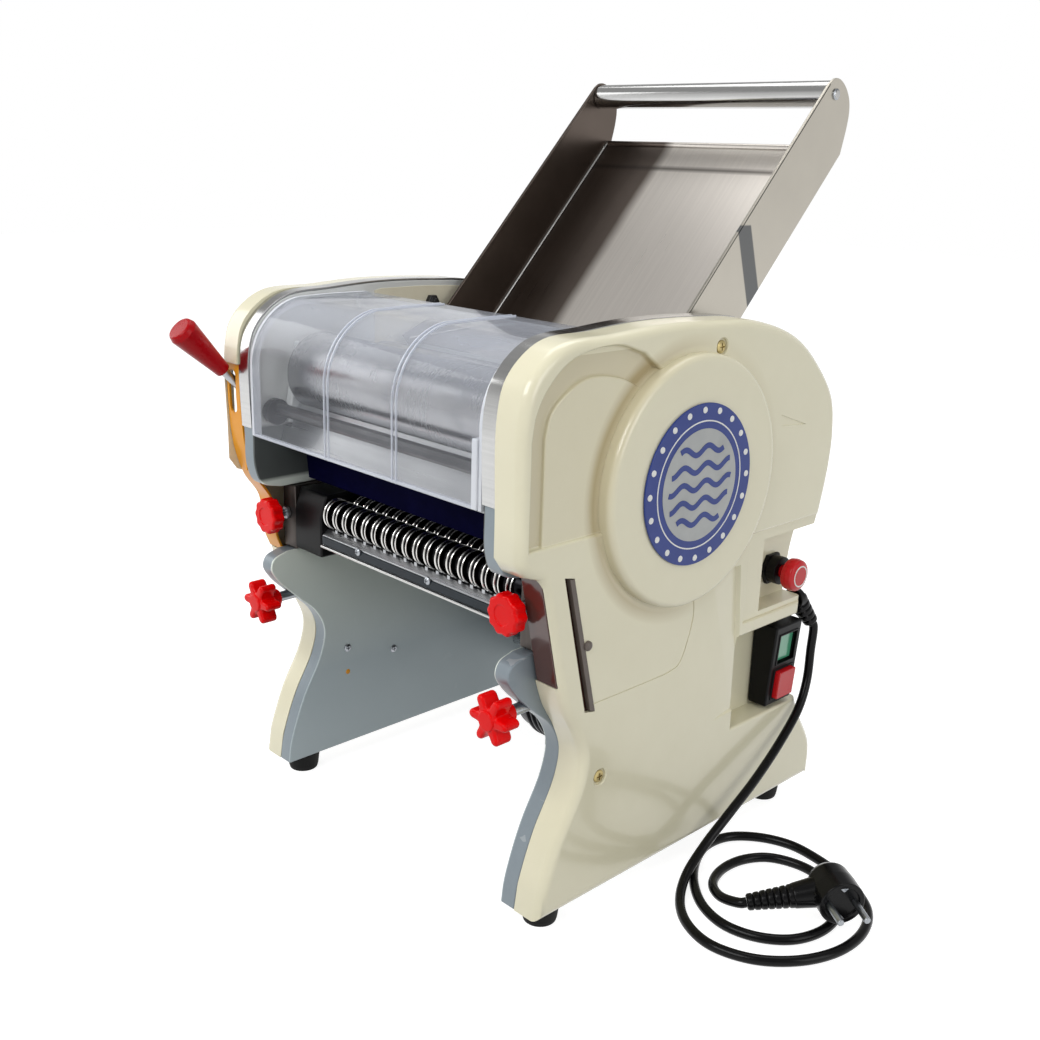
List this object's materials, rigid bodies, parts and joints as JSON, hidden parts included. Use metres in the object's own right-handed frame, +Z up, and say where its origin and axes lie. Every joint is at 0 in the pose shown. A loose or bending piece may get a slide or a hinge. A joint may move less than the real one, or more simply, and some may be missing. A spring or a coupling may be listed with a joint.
{
  "type": "electric pasta maker",
  "caption": "Electric pasta maker with moulded side covers, driven rollers under a clear guard, cutter shafts, a tilted steel hopper, a thickness lever, switches and a mains cord.",
  "frame": {"origin": "middle of the machine's underside on the table, measured without the free cord and its plug", "axes": "+Z up, -Y towards the front with the cutter knobs, +X towards the side with the drum and the switches, along the rollers' axes"},
  "size_m": [0.4862, 0.4288, 0.5705],
  "materials": {
    "cream": "satin",
    "casting": "satin grey paint",
    "polished": "polished",
    "steel": "brushed",
    "dark": "oiled",
    "rubber": "matt",
    "black": "matt",
    "red": "gloss",
    "orange": "satin",
    "brown": "gloss",
    "navy": "satin",
    "clear": "clear plastic",
    "blue": "satin",
    "green": "gloss",
    "bronze": "turned bronze"
  },
  "bodies": {
    "machine": {"left_side_frame": "casting", "right_side_frame": "casting", "left_cover": "cream", "right_cover": "cream", "left_rim_strip": "polished", "right_rim_strip": "polished", "front_left_foot": "rubber", "front_right_foot": "rubber", "rear_left_foot": "rubber", "rear_right_foot": "rubber", "rear_panel": "steel", "lower_tie_rod": "steel", "hopper_rest_rod": "steel", "badge_plate": "blue", "guard_hinge_rod": "steel", "hopper_tray": "polished", "hopper_bar": "polished", "left_hopper_bolt": "steel", "right_hopper_bolt": "steel", "left_rear_bush": "bronze", "right_rear_bush": "bronze", "lever_gate": "orange", "drive_belt": "rubber", "motor": "dark", "cutter_left_plate": "steel", "cutter_right_plate": "steel", "cutter_left_housing": "black", "cutter_front_bar": "dark", "cutter_gear_cover": "brown", "sheet_guide": "navy", "front_scraper": "steel", "switch_box": "black", "stop_switch_body": "black", "cord_gland": "rubber", "power_cord": "rubber", "plug": "rubber"},
    "guard": {"clear_guard": "clear"},
    "lever": {"thickness_lever": "steel", "lever_grip": "red", "adjusting_shaft": "dark"},
    "carriage": {"left_bearing_block": "bronze", "right_bearing_block": "bronze"},
    "front_roller_body": {"front_roller": "polished", "front_roller_gear": "dark"},
    "rear_roller_body": {"rear_roller": "polished", "rear_roller_gears": "dark", "cutter_drive_gear": "dark"},
    "countershaft_body": {"countershaft": "steel", "big_pulley": "dark"},
    "motor_rotor": {"motor_pulley": "dark"},
    "idler": {"idler_gear": "dark"},
    "front_cutter": {"front_cutter_shaft": "polished"},
    "rear_cutter": {"rear_cutter_shaft": "polished"},
    "left_round_knob_body": {"left_round_knob": "red"},
    "right_round_knob_body": {"right_round_knob": "red"},
    "left_star_knob_body": {"left_star_knob": "red"},
    "right_star_knob_body": {"right_star_knob": "red"},
    "green_button_body": {"green_button": "green"},
    "red_button_body": {"red_button": "red"},
    "stop_button_body": {"stop_button": "red"}
  },
  "joints": [
    {"name": "guard_hinge", "type": "hinge", "parent": "machine", "child": "guard", "pos_m": [-0.0051, -0.06164, 0.396], "axis": [1, 0, 0], "range_deg": [-85, 0]},
    {"name": "lever_hinge", "type": "hinge", "parent": "machine", "child": "lever", "pos_m": [-0.0051, -0.14563, 0.32], "axis": [1, 0, 0], "range_deg": [0, 45]},
    {"name": "carriage_slide", "type": "slide", "parent": "machine", "child": "carriage", "axis": [0, 0.9808, -0.1951], "range_m": [0, 0.002]},
    {"name": "front_roller_spin", "type": "hinge", "parent": "carriage", "child": "front_roller_body", "pos_m": [-0.0051, -0.10963, 0.346], "axis": [1, 0, 0], "continuous": true},
    {"name": "rear_roller_spin", "type": "hinge", "parent": "machine", "child": "rear_roller_body", "pos_m": [-0.0051, -0.04784, 0.33371], "axis": [1, 0, 0], "continuous": true},
    {"name": "countershaft_spin", "type": "hinge", "parent": "machine", "child": "countershaft_body", "pos_m": [-0.0051, -0.01163, 0.303], "axis": [1, 0, 0], "continuous": true},
    {"name": "motor_spin", "type": "hinge", "parent": "machine", "child": "motor_rotor", "pos_m": [0.1299, 0.02337, 0.095], "axis": [1, 0, 0], "continuous": true},
    {"name": "idler_spin", "type": "hinge", "parent": "machine", "child": "idler", "pos_m": [0.1419, -0.08463, 0.28568], "axis": [1, 0, 0], "continuous": true},
    {"name": "front_cutter_spin", "type": "hinge", "parent": "machine", "child": "front_cutter", "pos_m": [-0.0051, -0.12163, 0.2414], "axis": [1, 0, 0], "continuous": true},
    {"name": "rear_cutter_spin", "type": "hinge", "parent": "machine", "child": "rear_cutter", "pos_m": [-0.0051, -0.09964, 0.2414], "axis": [1, 0, 0], "continuous": true},
    {"name": "left_round_knob_turn", "type": "hinge", "parent": "machine", "child": "left_round_knob_body", "pos_m": [-0.1417, -0.14164, 0.2325], "axis": [0, 1, 0], "continuous": true},
    {"name": "left_star_knob_turn", "type": "hinge", "parent": "machine", "child": "left_star_knob_body", "pos_m": [-0.1417, -0.14164, 0.163], "axis": [0, 1, 0], "continuous": true},
    {"name": "right_round_knob_turn", "type": "hinge", "parent": "machine", "child": "right_round_knob_body", "pos_m": [0.1315, -0.14164, 0.2325], "axis": [0, 1, 0], "continuous": true},
    {"name": "right_star_knob_turn", "type": "hinge", "parent": "machine", "child": "right_star_knob_body", "pos_m": [0.1315, -0.14164, 0.163], "axis": [0, 1, 0], "continuous": true},
    {"name": "green_button_press", "type": "slide", "parent": "machine", "child": "green_button_body", "axis": [-1, 0, 0], "range_m": [0, 0.0025], "stiffness_N_per_m": 400},
    {"name": "red_button_press", "type": "slide", "parent": "machine", "child": "red_button_body", "axis": [-1, 0, 0], "range_m": [0, 0.0025], "stiffness_N_per_m": 400},
    {"name": "stop_button_press", "type": "slide", "parent": "machine", "child": "stop_button_body", "axis": [-1, 0, 0], "range_m": [0, 0.004]}
  ],
  "couplings": [
    {"joint": "lever_hinge", "follows": "carriage_slide", "rad_per_m": 392.7},
    {"joint": "front_roller_spin", "follows": "rear_roller_spin", "ratio": -1},
    {"joint": "countershaft_spin", "follows": "rear_roller_spin", "ratio": -2.4545},
    {"joint": "motor_spin", "follows": "rear_roller_spin", "ratio": -8.5909},
    {"joint": "idler_spin", "follows": "rear_roller_spin", "ratio": -0.69231},
    {"joint": "rear_cutter_spin", "follows": "rear_roller_spin", "ratio": 2.25},
    {"joint": "front_cutter_spin", "follows": "rear_roller_spin", "ratio": -2.25}
  ]
}
